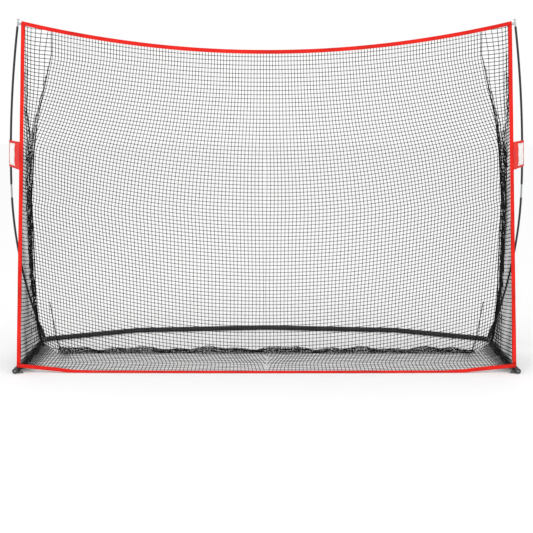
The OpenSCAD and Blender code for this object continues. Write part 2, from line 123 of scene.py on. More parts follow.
# powder-coated steel: a dull black skin with 1.1 mm orange peel, clouded over a hand's breadth, and painted
# paler in grey patches where it meets the ground, a painted reflection of the floor
powderCoat = {
    "stops": ((0.35, "#1b1b1e"), (0.75, "#2c2c30")),
    "shader": {"Roughness": 0.42, "IOR": 1.5},
    "grain": (111, 111, 111),  # millimetres along X, Y and Z, in this and every hard finish
    "detail": 5,
    "relief": (1.1, 1),  # millimetres and detail
    "bump": (0.3, 0.5),  # millimetres and strength
    # painted reflection of the floor: its grey, how high it climbs in metres, and how much of it shows at the
    # ground
    "floorReflection": "#57534d",
    "reflectionHeight": 0.006,
    "reflectionMost": 0.7,
    "speck": 7.1,  # millimetres
    "gloss": (0.34, 0.52),
}
# pultruded glass fibre: black resin with faint streaks along the rod, drawn 1.4 mm wide to show its strands
glassFibre = {
    "stops": ((0.35, "#0b0b0c"), (0.8, "#242427")),
    "shader": {"IOR": 1.55},
    "grain": (1.43, 1.43, 125),
    "detail": 4,
    "gloss": (0.22, 0.45),
    "bump": (0.2, 0.6),
}
# turned aluminium: rings round the rod, about 0.1 mm apart in life and drawn 0.6 mm apart so that they show
turnedAluminium = {
    "stops": ((0.3, "#9da1a5"), (0.7, "#cfd2d5")),
    "shader": {"Metallic": 1.0},
    "grain": (83, 83, 0.625),
    "detail": 2,
    "gloss": (0.25, 0.48),
    "bump": (0.1, 0.5),
}
# nickel-plated steel: bright and smooth, with 2 mm patches of light wear where a thumb presses
nickelPlate = {
    "stops": ((0.35, "#96938c"), (0.65, "#cbc9c3")),
    "shader": {"Metallic": 1.0},
    "grain": (2, 2, 2),
    "detail": 5,
    "gloss": (0.15, 0.4),
}
# rolled spring steel: a grey oxide skin with rolling lines 0.5 mm apart
springSteel = {
    "stops": ((0.3, "#63666b"), (0.7, "#94979b")),
    "shader": {"Metallic": 1.0, "Roughness": 0.38},
    "grain": (16.7, 16.7, 0.5),
    "detail": 3,
    "bump": (0.1, 0.4),
}
# moulded polypropylene: satin black with a 0.9 mm spark-eroded grain; the recess in a cap's face looks paler
polypropylene = {
    "stops": ((0.3, "#222325"), (0.8, "#313235")),
    "shader": {"Roughness": 0.5, "IOR": 1.49},
    "grain": (16.7, 16.7, 16.7),
    "detail": 4,
    "relief": (0.91, 2),
    "bump": (0.2, 0.6),
    "eye": "#75777a",
    "eyeRadius": 0.0085,
    "eyeDepth": 0.005,
}


def makeHardFinish(name, look):
    # colour and gloss follow one grain, and so does the relief unless it has a size of its own
    material, tree, shader = newMaterial(name, look["stops"][0][1], look["shader"])
    place = addNode(tree, "ShaderNodeTexCoord")
    scaled = addNode(tree, "ShaderNodeMapping", {"Vector": place.outputs["Object"]},
                     {"Scale": [1000 / size for size in look["grain"]]})
    grain = addNode(tree, "ShaderNodeTexNoise", {"Vector": scaled.outputs[0]},
                    {"Scale": 1, "Detail": look["detail"]})
    colour = addNode(tree, "ShaderNodeValToRGB", {0: grain.outputs[0]}, stops=look["stops"])
    tree.links.new(colour.outputs[0], shader.inputs["Base Color"])
    if "gloss" in look:
        gloss = addNode(tree, "ShaderNodeMapRange", {"Value": grain.outputs[0]},
                        {"To Min": look["gloss"][0], "To Max": look["gloss"][1]})
        tree.links.new(gloss.outputs[0], shader.inputs["Roughness"])
    if "bump" in look:
        relief = grain
        if "relief" in look:
            relief = addNode(tree, "ShaderNodeTexNoise", {"Vector": place.outputs["Object"]},
                             {"Scale": 1000 / look["relief"][0], "Detail": look["relief"][1]})
        bump = addNode(tree, "ShaderNodeBump", {"Height": relief.outputs[0]},
                       {"Distance": look["bump"][0] / 1000, "Strength": look["bump"][1]})
        tree.links.new(bump.outputs[0], shader.inputs["Normal"])
    return material, tree, shader, place, colour


def makePowderCoat(look):
    material, tree, shader, place, colour = makeHardFinish("powderCoatedSteel", look)
    parts = addNode(tree, "ShaderNodeSeparateXYZ", {0: place.outputs["Object"]})
    # painted reflection of the floor: the tube's colour turns paler grey towards the ground, in speck-sized
    # patches
    low = addNode(tree, "ShaderNodeMapRange", {"Value": parts.outputs["Z"]},
                  {"From Min": look["reflectionHeight"], "From Max": 0.0, "To Min": 0, "To Max": look["reflectionMost"]})
    specks = addNode(tree, "ShaderNodeTexNoise", {"Vector": place.outputs["Object"]},
                     {"Scale": 1000 / look["speck"], "Detail": 4})
    paintedReflection = addNode(tree, "ShaderNodeMath", {0: low.outputs[0], 1: specks.outputs[0]}, operation="MULTIPLY")
    mixed = addNode(tree, "ShaderNodeMix", {0: paintedReflection.outputs[0], 6: colour.outputs[0]},
                    {7: linearColour(look["floorReflection"])}, data_type="RGBA")
    tree.links.new(mixed.outputs[2], shader.inputs["Base Color"])
    gloss = addNode(tree, "ShaderNodeMapRange", {"Value": specks.outputs[0]},
                    {"To Min": look["gloss"][0], "To Max": look["gloss"][1]})
    tree.links.new(gloss.outputs[0], shader.inputs["Roughness"])
    return material


def makeCapPlastic(look):
    material, tree, shader, place, colour = makeHardFinish("mouldedPolypropyleneCap", look)
    capLow, capHigh = boxOf("end_cap_right")
    middle = (float(capLow[0] + capHigh[0]) / 2, 0, float(capHigh[2]) / 2)
    parts = addNode(tree, "ShaderNodeSeparateXYZ", {0: place.outputs["Object"]})
    across = addNode(tree, "ShaderNodeMath", {0: parts.outputs["X"]}, operation="ABSOLUTE")
    flat = addNode(tree, "ShaderNodeCombineXYZ", {"X": across.outputs[0], "Z": parts.outputs["Z"]})
    away = addNode(tree, "ShaderNodeVectorMath", {0: flat.outputs[0]}, {1: middle}, operation="DISTANCE")
    inside = addNode(tree, "ShaderNodeMath", {0: away.outputs["Value"]}, {1: look["eyeRadius"]},
                     operation="LESS_THAN")
    nearFront = addNode(tree, "ShaderNodeMath", {0: parts.outputs["Y"]},
                        {1: float(capLow[1]) + look["eyeDepth"]}, operation="LESS_THAN")
    eye = addNode(tree, "ShaderNodeMath", {0: inside.outputs[0], 1: nearFront.outputs[0]},
                  operation="MULTIPLY")
    mixed = addNode(tree, "ShaderNodeMix", {0: eye.outputs[0], 6: colour.outputs[0]},
                    {7: linearColour(look["eye"])}, data_type="RGBA")
    tree.links.new(mixed.outputs[2], shader.inputs["Base Color"])
    return material


# braided polyester twine: matt black yarn, about 2 mm thick in life; the yarn, its knots and its braid are
# all drawn twice as coarse, so that they show from across a lawn
twine = {
    "stops": ((0.1, "#08080a"), (0.6, "#17171a")),
    "shader": {"Roughness": 0.9, "Specular IOR Level": 0.3},
    "braid": 6,  # millimetres
    "tone": 71,
    "bump": 0.3,
    "radius": 0.0020,
    "knot": 0.0047,
}


def makeTwine(look):
    material, tree, shader = newMaterial("braidedPolyesterTwine", look["stops"][1][1], look["shader"])
    place = addNode(tree, "ShaderNodeTexCoord")
    # a diagonal wave of scale 1 repeats every 0.628 m
    braid = addNode(tree, "ShaderNodeTexWave", {"Vector": place.outputs["Object"]},
                    {"Scale": 628 / look["braid"], "Distortion": 0.6, "Detail": 1},
                    bands_direction="DIAGONAL")
    tone = addNode(tree, "ShaderNodeTexNoise", {"Vector": place.outputs["Object"]},
                   {"Scale": 1000 / look["tone"], "Detail": 4})
    both = addNode(tree, "ShaderNodeMath", {0: braid.outputs["Fac"], 1: tone.outputs[0]},
                   operation="MULTIPLY")
    colour = addNode(tree, "ShaderNodeValToRGB", {0: both.outputs[0]}, stops=look["stops"])
    tree.links.new(colour.outputs[0], shader.inputs["Base Color"])
    bump = addNode(tree, "ShaderNodeBump", {"Height": braid.outputs["Fac"]},
                   {"Distance": look["bump"] / 1000, "Strength": 0.7})
    tree.links.new(bump.outputs[0], shader.inputs["Normal"])
    return material


# woven polyester tape: bright red with a close rib that catches the light along its crowns, drawn at 1.6 mm
tapeCloth = {
    "colours": ("#c41004", "#ec1a08", "#f52814"),
    "shader": {"Roughness": 0.75, "Sheen Weight": 0.03, "Specular IOR Level": 0.3},
    "thread": 1.6,  # millimetres, as in every cloth; these are drawn coarser than life so that they show
    "fade": 143,
}
# woven polyester oxford: a flatter plain weave than the tape and a little duller, drawn at 1.2 mm
tabCloth = {
    "colours": ("#c01005", "#ea1c0a", "#f22a17"),
    "shader": {"Roughness": 0.8, "Sheen Weight": 0.03, "Specular IOR Level": 0.3},
    "thread": 1.2,
    "fade": 143,
}
# woven polypropylene webbing: black, with coarse 1.6 mm ribs and a slight sheen
webCloth = {
    "colours": ("#101012", "#1d1d20", "#2f2f33"),
    "shader": {"Roughness": 0.6, "Sheen Weight": 0.3, "Specular IOR Level": 0.3},
    "thread": 1.6,
    "fade": 143,
}
# woven nylon loop: pale grey, fine and a little shiny, drawn at 1 mm
loopCloth = {
    "colours": ("#9ea3a7", "#c4c8cb", "#dcdfe1"),
    "shader": {"Roughness": 0.5, "Sheen Weight": 0.1, "Specular IOR Level": 0.3},
    "thread": 1.0,
    "fade": 143,
}
# woven polyester patch: plain white and tightly woven, faintly grey in the hollows, drawn at 1 mm
patchCloth = {
    "colours": ("#d9d6d3", "#f1efed", "#fbfaf9"),
    "shader": {"Roughness": 0.65, "Sheen Weight": 0.1, "Specular IOR Level": 0.3},
    "thread": 1.0,
    "fade": 143,
}
# spun polyester thread: darker red than the cloth it holds, round and matt
sewingThread = {"colour": "#9c0f08", "shader": {"Roughness": 0.7, "Sheen Weight": 0.05}}


def makeWoven(name, look):
    # warp and weft at the thread spacing, along the piece's own length and width in metres, faded in patches
    material, tree, shader = newMaterial(name, look["colours"][1], look["shader"])
    place = addNode(tree, "ShaderNodeTexCoord")
    # a straight wave of scale 1 repeats every 0.314 m
    warp, weft = [addNode(tree, "ShaderNodeTexWave", {"Vector": place.outputs["UV"]},
                          {"Scale": 314 / look["thread"]}, bands_direction=direction) for direction in "XY"]
    weave = addNode(tree, "ShaderNodeMath", {0: warp.outputs["Fac"], 1: weft.outputs["Fac"]},
                    operation="MULTIPLY")
    fade = addNode(tree, "ShaderNodeTexNoise", {"Vector": place.outputs["Object"]},
                   {"Scale": 1000 / look["fade"], "Detail": 5})
    lifted = addNode(tree, "ShaderNodeMath", {0: weave.outputs[0]}, {1: 0.6}, operation="ADD")
    both = addNode(tree, "ShaderNodeMath", {0: lifted.outputs[0], 1: fade.outputs[0]}, operation="MULTIPLY")
    colour = addNode(tree, "ShaderNodeValToRGB", {0: both.outputs[0]},
                     stops=list(zip((0.15, 0.45, 0.85), look["colours"])))
    tree.links.new(colour.outputs[0], shader.inputs["Base Color"])
    bump = addNode(tree, "ShaderNodeBump", {"Height": weave.outputs[0]},
                   {"Distance": look["thread"] / 4000, "Strength": 0.8})
    tree.links.new(bump.outputs[0], shader.inputs["Normal"])
    return material


twineYarn = makeTwine(twine)
tapeWeave = makeWoven("wovenPolyesterTape", tapeCloth)
tabWeave = makeWoven("wovenPolyesterOxford", tabCloth)
webWeave = makeWoven("wovenPolypropyleneWebbing", webCloth)
loopWeave = makeWoven("wovenNylonLoop", loopCloth)
patchWeave = makeWoven("wovenPolyesterPatch", patchCloth)
redThread = newMaterial("spunPolyesterThread", sewingThread["colour"], sewingThread["shader"])[0]
aluminium = makeHardFinish("turnedAluminium", turnedAluminium)[0]
hardFinishes = {
    "end_cap": makeCapPlastic(polypropylene),
    "socket_bush": makeHardFinish("mouldedPolypropylene", polypropylene)[0],
    "pole_joint": aluminium,
    "tip_pin": aluminium,
    "snap_button": makeHardFinish("nickelPlatedSteel", nickelPlate)[0],
    "snap_spring": makeHardFinish("rolledSpringSteel", springSteel)[0],
    "tube": makePowderCoat(powderCoat),
    "pole": makeHardFinish("pultrudedGlassFibre", glassFibre)[0],
}
for nodeName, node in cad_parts.items():
    for word, finish in hardFinishes.items():  # the first word that fits, since a pole joint isn't a pole
        if word in nodeName:
            node.data.materials.clear()
            node.data.materials.append(finish)
            break
print("materials ready")


strandSides = 4
knotShape = np.array([(1, 0, 0), (-1, 0, 0), (0, 1, 0), (0, -1, 0), (0, 0, 1), (0, 0, -1)], float)
knotFaces = np.array([(0, 2, 4), (2, 1, 4), (1, 3, 4), (3, 0, 4), (2, 0, 5), (1, 2, 5), (3, 1, 5), (0, 3, 5)])


def newParts():
    return {"points": [], "faces": [], "uv": [], "count": 0}


def addStrand(parts, path, radius, facing):
    # a closed strand along path; facing is any direction across it
    path = np.asarray(path, float)
    tangent = np.gradient(path, axis=0)
    tangent /= np.linalg.norm(tangent, axis=1)[:, None] + 1e-12
    side = np.cross(tangent, facing)
    side /= np.linalg.norm(side, axis=1)[:, None] + 1e-12
    up = np.cross(side, tangent)
    angles = (np.arange(strandSides) + 0.5) * 2 * math.pi / strandSides
    rings = path[:, None] + radius * (np.cos(angles)[None, :, None] * side[:, None]
                                      + np.sin(angles)[None, :, None] * up[:, None])
    index = parts["count"] + np.arange(len(path) * strandSides).reshape(len(path), strandSides)
    turned = np.roll(index, -1, axis=1)
    quads = np.stack([index[:-1], index[1:], turned[1:], turned[:-1]], axis=-1).reshape(-1, 4)
    parts["points"].append(rings.reshape(-1, 3))
    parts["faces"] += quads.tolist() + [index[0].tolist(), index[-1][::-1].tolist()]
    parts["count"] += index.size


def addKnots(parts, centres, radius):
    centres = np.asarray(centres).reshape(-1, 3)
    starts = parts["count"] + 6 * np.arange(len(centres))
    parts["points"].append((centres[:, None] + radius * knotShape[None]).reshape(-1, 3))
    parts["faces"] += (starts[:, None, None] + knotFaces[None]).reshape(-1, 3).tolist()
    parts["count"] += 6 * len(centres)


def addNetting(parts, grid, inside, reach, facing, radii=(twine["radius"],) * 2, knot=twine["knot"]):
    # grid is rows x columns of knots; reach marks cut ends that lie just past the last knot of a strand
    directions = ((grid, inside, reach[0], radii[0]),
                  (grid.transpose(1, 0, 2), inside.T, reach[1].T, radii[1]))
    for lines, knots, ends, radius in directions:
        for line, on, cut in zip(lines, knots, ends):
            use = on | cut
            edges = np.flatnonzero(np.diff(np.concatenate([[0], use.astype(int), [0]])))
            for start, stop in zip(edges[::2], edges[1::2]):
                if stop - start > 1 and on[start:stop].any():
                    addStrand(parts, line[start:stop], radius, facing)
    addKnots(parts, grid[inside], knot)


def finishMesh(name, parts, material, body=root, standsFor=()):
    mesh = bpy.data.meshes.new(name)
    mesh.from_pydata(np.concatenate(parts["points"]).tolist(), [], parts["faces"])
    mesh.polygons.foreach_set("use_smooth", np.ones(len(mesh.polygons), bool))
    if parts["uv"]:
        layer = mesh.uv_layers.new(name="lengthAndWidth")
        corners = np.zeros(len(mesh.loops), np.int32)
        mesh.loops.foreach_get("vertex_index", corners)
        layer.data.foreach_set("uv", np.concatenate(parts["uv"])[corners].astype(np.float32).ravel())
    mesh.materials.append(material)
    mesh.update()
    piece = bpy.data.objects.new(name, mesh)
    bpy.context.scene.collection.objects.link(piece)
    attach(piece, body)
    if standsFor:
        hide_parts(*standsFor)
    return piece


def unit(vectors):
    return vectors / np.linalg.norm(vectors, axis=-1)[..., None]


tape = {
    "width": 0.024,
    "thick": 0.0024,
    "riseFrom": 1.2,  # past this the low tape climbs to the front caps
    "bow": 0.012,
    "turnUp": 0.018,
    "restTilt": 0.4,  # radians, where the low tape lies on the ground
    "uprightFrom": 1.5,  # past this it stands on edge
    "turnOver": 0.45,
    "waver": 0.0010,
    "stitchLines": (-0.38, 0.32),  # shares of the width, from the middle
}

sideTapeLow, sideTapeHigh = boxOf("binding_right")
topTapeLow, topTapeHigh = boxOf("binding_top")
lowHalf = boxOf("binding_bottom")[1][0]
topHalf = topTapeHigh[0]
topZ = topTapeHigh[2]
topY = (topTapeLow[1] + topTapeHigh[1]) / 2
sag = topZ - topTapeLow[2] - tape["width"]
lowZ = boxOf("net_side_right")[0][2]
tapeSlope = (sideTapeHigh[1] - tape["thick"] - sideTapeLow[1]) / (sideTapeHigh[2] - sideTapeLow[2])
lowY = sideTapeLow[1] - tapeSlope * (sideTapeLow[2] - lowZ)
backLow, backHigh = boxOf("net_back")
gatherY = boxOf("net_floor")[1][1]
floorHalf = boxOf("net_gather_right")[0][0]
sideX = boxOf("net_side_right")[0][0]


def sideEdge(z):
    t = (z - lowZ) / (topZ - lowZ)
    return np.stack([lowHalf + (topHalf - lowHalf) * t, lowY + (topY - lowY) * t, z + 0 * t], axis=-1)


def topEdge(x):
    return topZ - sag * (1 - (x / topHalf) ** 2)


def backY(z):
    return backHigh[1] + (backLow[1] - backHigh[1]) * z / backHigh[2]


def lowTapeTilt(x):
    lie = smooth((tape["uprightFrom"] - abs(x)) / tape["turnOver"])
    return math.pi / 2 * (1 - lie) + tape["restTilt"] * lie


def lowTapeY(x):
    return frontY + tape["bow"] + tape["turnUp"] * (x / lowHalf) ** 2


def lowTapeZ(x):
    return lowZ * np.clip((abs(x) - tape["riseFrom"]) / (lowHalf - tape["riseFrom"]), 0, 1)


def edgeBack(x):
    return lowTapeY(x) + tape["width"] * np.cos(lowTapeTilt(x)) + tape["thick"] * np.sin(lowTapeTilt(x))


def declareNet(piece, flat):
    # a net's own cloth is its yarn; yarnShare is the yarn's part of the flat cut
    yarnArea = sum(face.area for face in piece.data.polygons) / 2
    print(piece.name, "yarn over cut:", round(yarnArea / (flat[0] * flat[1]), 3))


netting = {
    "floorGap": 0.008,
    "lowerSag": 0.26,  # the rows hang deeper lower down
    "lowerDepth": 1.1,  # and have all of that sag this far down
    "ripple": 0.006,
    "rippleDeep": 1.6,
    "rippleAcross": 0.35,
    "heights": [0.0, 0.35, 0.75, 0.95, 1.14, 1.33, 1.52, 1.71, 1.90, 2.13],
    "columnPitch": [0.0236, 0.0237, 0.0240, 0.0242, 0.0234, 0.0223, 0.0209, 0.0198, 0.0191, 0.0189],
    "columns": 72,
    "rowPitchTop": 0.0262,
    "rowPitchLow": 0.0238,
    "firstPitch": 0.0195,  # where the columns start before they settle
    "behindTape": 0.008,
    "overrun": 0.30,  # rows run on below the floor, where they are cut
    "narrowing": 0.19,  # the mesh closes up towards the sides, below the middle
    "narrowFrom": 0.55,
    "narrowOver": 0.8,
    "crowded": 0.0011,  # the columns come no nearer than this at the crease
    "reach": 1.62,
    "flat": (1.52, 2.1),
    "yarnShare": 0.53,
}
# the fold between the back and the side panels: height, distance from the middle
crease = {
    "z": [0.0, 1.01, 1.16, 1.33, 1.52, 1.74, 1.93, 2.13],
    "x": [1.512, 1.512, 1.498, 1.482, 1.449, 1.390, 1.342, 1.335],
}
# the seam across the low corner of the back panel; outside it the panel runs back to the bent tube
seam = {
    "z": [0.0, 0.065, 0.12, 0.337, 0.50],
    "x": [1.362, 1.378, 1.391, 1.421, 1.505],
    "cords": 2,
    "top": 0.34,
    "foot": 0.010,
    "wide": 0.0016,  # the cords' turns, which open downwards
    "wider": 0.0025,
    "turns": 130,  # radians to a metre
}


def creaseX(z):
    return np.interp(z, crease["z"], crease["x"])


def seamX(z):
    return np.interp(z, seam["z"], seam["x"])


def ripple(x, z, phase):
    return (np.sin(5.3 * x + 2.1 * z + phase) + 0.6 * np.sin(2.7 * x - 6.1 * z + 1.7 * phase)
            + 0.35 * np.sin(11 * x + 9 * z + 0.6 * phase)) * netting["ripple"]


def columnTable():
    # where each column of the back panel stands, at each height
    heights = np.linspace(0, topZ, 54)
    reachX = np.linspace(0, netting["reach"], 300)
    step = reachX[1] - reachX[0]
    table = []
    for z in heights:
        pitch = np.interp(z, netting["heights"], netting["columnPitch"])
        closing = netting["narrowing"] * (1 - smooth((z - 1.0) / 0.4))
        far = np.clip((reachX - netting["narrowFrom"]) / netting["narrowOver"], 0, 1.1)
        count = np.concatenate([[0], np.cumsum(step / (pitch * (1 - closing * far ** 1.5)))[:-1]])
        table.append(np.interp(np.arange(netting["columns"] + 1), count, reachX))
    return heights, np.array(table)


def backGrid(side):
    heights, table = columnTable()
    depths = [-netting["behindTape"]]
    while depths[-1] < topZ - sag + netting["overrun"]:
        t = min(1, max(0, depths[-1]))
        depths.append(depths[-1] + netting["rowPitchTop"] * (1 - t) + netting["rowPitchLow"] * t)
    depths = np.array(depths)
    numbers = np.arange(netting["columns"] + 1)
    x = np.tile(numbers * netting["firstPitch"], (len(depths), 1))
    extra = (netting["lowerSag"] - sag) * smooth(depths / netting["lowerDepth"])
    for _ in range(4):  # a knot's height and its distance from the middle settle together
        z = (topZ - sag - tape["width"] - depths)[:, None] + (sag + extra)[:, None] * (x / topHalf) ** 2
        for c in numbers:
            x[:, c] = np.interp(z[:, c], heights, table[:, c])
        x = np.minimum(x, creaseX(z) - netting["crowded"] * (numbers[-1] - numbers)[None, :])
    wave = ripple(side * x, z, 0.4)
    fade = smooth((creaseX(z) - x) / 0.2) * smooth((topEdge(x) - z) / 0.3) * smooth(z / 0.2)
    y = backY(z) + wave * fade * netting["rippleDeep"]
    corner = np.clip((x - seamX(z)) / (creaseX(z) - seamX(z) + 1e-4), 0, 1) * (z < seam["z"][-1])
    y = y + (np.interp(z, goreRear["z"], goreRear["y"]) - backY(z)) * corner
    y[0] += tape["thick"] / 2 + twine["radius"]  # sewn to the back of the tape
    x = x + ripple(z, side * x, 2.2) * fade * netting["rippleAcross"]
    return np.stack([side * x, y, z], axis=-1)


def makeBack():
    for side, sign in sides.items():
        grid = backGrid(sign)
        # knots above the floor, and the cut end of each column just below them
        inside = grid[..., 2] > netting["floorGap"]
        cut = np.zeros_like(inside)
        cut[1:] = inside[:-1] & ~inside[1:]
        grid[..., 2] = np.maximum(grid[..., 2], netting["floorGap"])
        inside[0] = False
        cut[0] = True
        rowEnds = np.zeros_like(inside)
        if side == "left":
            # the middle column belongs to the other half, and the rows still reach it
            rowEnds[:, 0] = inside[:, 0]
            inside[:, 0] = False
            cut[:, 0] = False
        parts = newParts()
        addNetting(parts, grid, inside, (rowEnds, cut), (0, 1, 0))
        foot = grid[1:][cut[1:]]
        addStrand(parts, foot[np.argsort(foot[:, 0])], twine["radius"], (0, 0, 1))
        standsFor = ["net_back"] if side == "right" else []
        piece = finishMesh("netBack." + side, parts, twineYarn, standsFor=standsFor)
        declareNet(piece, netting["flat"])


# the side panel's rear edge, from the ground up
goreRear = {
    "z": [0.030, 0.17, 0.353, 0.45, 0.88, 1.16, 1.33, 1.52, 1.74, 1.93, 2.13],
    "y": [0.064, -0.020, -0.078, -0.090, -0.100, -0.112, -0.120, -0.129, -0.141, -0.149, -0.158],
    "x": [1.512, 1.515, 1.515, 1.515, 1.514, 1.500, 1.484, 1.451, 1.392, 1.344, 1.337],
}
gore = {
    "pitch": 0.0232,
    "riseAtTape": 0.065,  # the rows slope up to the tape, less so higher up
    "riseLoss": 0.014,
    "turnAt": 0.55,  # where the panel turns inwards, as a share of its depth
    "turnUp": 0.01,
    "cutBack": 0.006,
    "selvedgeCords": 5,
    "selvedgePitch": 0.0045,
    "flat": (0.36, 2.06),  # the mean width of a tapered cut
    "yarnShare": 0.5,
}


def goreEdge(z):
    x, y = [np.interp(z, goreRear["z"], goreRear[key]) for key in "xy"]
    return np.stack([x, y, z], axis=-1)


def makeGore():
    for side, sign in sides.items():
        z = backGrid(sign)[:, -1, 2]
        z = z[z > 0.0]
        front = sideEdge(z + gore["riseAtTape"] - gore["riseLoss"] * z)
        front[:, 0] -= tape["width"] / 2
        front[:, 1] += tape["thick"] + twine["radius"]
        back = goreEdge(z)
        turnY = front[:, 1] * (1 - gore["turnAt"]) + back[:, 1] * gore["turnAt"]
        turn = np.stack([front[:, 0] - twine["radius"], turnY, z + gore["turnUp"]], axis=-1)
        width = np.linalg.norm((back - turn)[:, :2], axis=1) + np.linalg.norm((turn - front)[:, :2], axis=1)
        columns = int(width.max() / gore["pitch"]) + 2
        steps = np.arange(columns)[None, :] * gore["pitch"] / width[:, None]
        on = steps < 1 - gore["cutBack"] / width[:, None]
        cutRow = np.zeros_like(on)
        cutRow[:, 1:] = on[:, :-1] & ~on[:, 1:]
        steps = np.minimum(steps, 1)
        # straight back from the tape at first, then inwards to the fold
        grid = (front[:, None] * ((1 - steps) ** 2)[..., None]
                + turn[:, None] * (2 * steps * (1 - steps))[..., None]
                + back[:, None] * (steps ** 2)[..., None])
        grid[..., 0] += ripple(grid[..., 1] * 3, grid[..., 2], sign) * 0.5 * np.sin(math.pi * steps)
        grid[..., 0] = np.minimum(grid[..., 0], sideX + twine["radius"]) * sign
        low = grid[..., 2] > lowZ + 2 * twine["radius"]
        cutRow[:, 0] = True
        inside = on & low
        inside[:, 0] = False
        cutColumn = np.zeros_like(inside)
        cutColumn[1:] = inside[:-1] & on[1:] & ~low[1:]
        grid[..., 2] = np.maximum(grid[..., 2], lowZ + twine["radius"])
        parts = newParts()
        addNetting(parts, grid, inside, (cutRow & low, cutColumn), (1, 0, 0))
        # the selvedge lies bunched along the tube
        y = np.linspace(edgeBack(np.array([sideX]))[0] + 0.03, gatherY - 0.012, 40)
        for k in range(gore["selvedgeCords"]):
            aside = gore["selvedgePitch"] * k
            line = np.stack([sign * (sideX - 0.003 - aside + 0.002 * np.sin(31 * y + k)), y,
                             lowZ + 0.001 - aside + 0.002 * np.sin(23 * y + 2 * k)], axis=-1)
            addStrand(parts, line, twine["radius"], (0, 0, 1))
        piece = finishMesh("netSide." + side, parts, twineYarn, standsFor=["net_side_" + side])
        declareNet(piece, gore["flat"])


gather = {
    "z": [0.036, 0.10, 0.20, 0.35, 0.45, 0.88, 1.00, 1.16, 1.33, 1.52, 1.74, 1.93],
    "rearY": [0.062, 0.020, -0.030, -0.085, -0.120, -0.125, -0.118, -0.115, -0.120, -0.129, -0.141, -0.149],
    "rearX": [1.510, 1.512, 1.513, 1.513, 1.513, 1.512, 1.509, 1.498, 1.482, 1.449, 1.391, 1.344],
    "frontY": [0.048, 0.000, -0.054, -0.115, -0.160, -0.208, -0.220, -0.225, -0.215, -0.185, -0.150, -0.152],
    "frontX": [1.514, 1.515, 1.516, 1.516, 1.516, 1.516, 1.515, 1.512, 1.507, 1.485, 1.399, 1.346],
    "strands": 17,
    "seeds": {"right": 11, "left": 12},
    "outerFrom": 0.55,  # the share of the bunch whose strands leave it for the tape
    "leaveAt": 1.36,
    "joinShare": [0, 0.3, 0.6, 1],  # the strands join the bunch from these heights down
    "joinHeight": [1.95, 1.80, 1.60, 1.30],
    "fan": [-0.06, -0.13, -0.21],  # where the loose strands beside the bunch reach the tube
    "fanFoot": 0.038,
    "fanTop": 0.85,
    "rowPitch": 0.023,
    "radii": (0.0012, 0.0017),
    "knot": 0.0026,
    "flat": (0.45, 1.95),
    "yarnShare": 0.3,
}


def makeGather():
    # surplus netting bunched down the corner between the side and the back
    for side, sign in sides.items():
        dice = np.random.default_rng(gather["seeds"][side])
        z = np.arange(gather["z"][0], gather["z"][-1], gather["rowPitch"])[::-1]
        ends = {key: np.interp(z, gather["z"], gather[key]) for key in ("rearY", "rearX", "frontY", "frontX")}
        count = gather["strands"]
        share = (np.arange(count) + 0.5) / count
        wander = np.cumsum(dice.normal(0, 0.05, (len(z), count)), axis=0)
        wander -= np.linspace(0, 1, len(z))[:, None] * wander[-1]
        u = np.clip(share[None] + wander * 0.5 + dice.normal(0, 0.02, (len(z), count)), 0, 1)
        x = ends["rearX"][:, None] + (ends["frontX"] - ends["rearX"])[:, None] * u
        y = ends["rearY"][:, None] + (ends["frontY"] - ends["rearY"])[:, None] * u
        zig = np.where(np.arange(count) % 2 == 0, 1, -1)[None] * 0.003 + dice.normal(0, 0.002, x.shape)
        x = np.minimum(x + zig, sideX + 0.003)
        # above shoulder height the outer strands leave the bunch for the back of the tape
        outer = share > gather["outerFrom"]
        apart = smooth((z - gather["leaveAt"]) / 0.22)[:, None] * outer[None]
        beside = sideEdge(z)
        x = x + (beside[:, :1] - tape["width"] - 0.002 - 0.022 * (1 - u) + zig - x) * apart
        y = y + (beside[:, 1:2] + 0.02 + 0.05 * (1 - u) - y) * apart
        drop = dice.normal(0, 0.004, x.shape)
        grid = np.stack([sign * x, y, z[:, None] + drop], axis=-1)
        grid[-1, :, 2] = lowZ + twine["radius"]
        # the bunch starts as a line or two at the top, and every strand has joined it by shoulder height
        joins = np.interp(np.argsort(dice.random(count)) / count, gather["joinShare"], gather["joinHeight"])
        inside = z[:, None] < joins[None]
        none = np.zeros_like(inside)
        parts = newParts()
        for group in (outer, ~outer):
            addNetting(parts, grid[:, group], inside[:, group], (none[:, group], none[:, group]), (1, 0.3, 0),
                       gather["radii"], gather["knot"])
        rise = np.linspace(0, 1, 24)
        for foot in gather["fan"]:
            path = np.stack([sign * (gather["frontX"][0] + 0 * rise),
                             foot + (gather["frontY"][6] - foot) * rise ** 0.7,
                             gather["fanFoot"] + (gather["fanTop"] - gather["fanFoot"]) * rise], axis=-1)
            addStrand(parts, path, twine["radius"], (1, 0.3, 0))
        # two cords laced up the low seam of the back panel
        z = np.linspace(seam["top"], seam["foot"], 36)
        for k in range(seam["cords"]):
            turn = k * math.pi + z * seam["turns"]
            wide = seam["wide"] + seam["wider"] * (1 - z / seam["top"])
            y = backY(z) - 2 * twine["radius"] + wide * np.sin(turn)
            path = np.stack([sign * (seamX(z) + wide * np.cos(turn)), y, z], axis=-1)
            addStrand(parts, path, twine["radius"], (0, 1, 0))
        piece = finishMesh("netGather." + side, parts, twineYarn, standsFor=["net_gather_" + side])
        declareNet(piece, gather["flat"])


floorNet = {
    "pitch": 0.0238,
    "sidePitch": 0.0065,  # the columns close up to this beside the tubes
    "rowPitch": 0.045,  # the slack floor panel is drawn out from front to back
    "cornerFrom": 1.345,  # from here outwards it runs back to the bent tube
    "foldY": -0.092,
    "splay": 0.045,  # how far the rear half leans outward, and more towards the sides
    "splaySide": 0.025,
    "middle": 0.030,
    "climb": 0.024,  # up onto the side tube
    "radii": (0.0011, 0.0020),
    "knot": 0.0026,
    "flat": (3.05, 0.55),
    "yarnShare": 0.33,
}


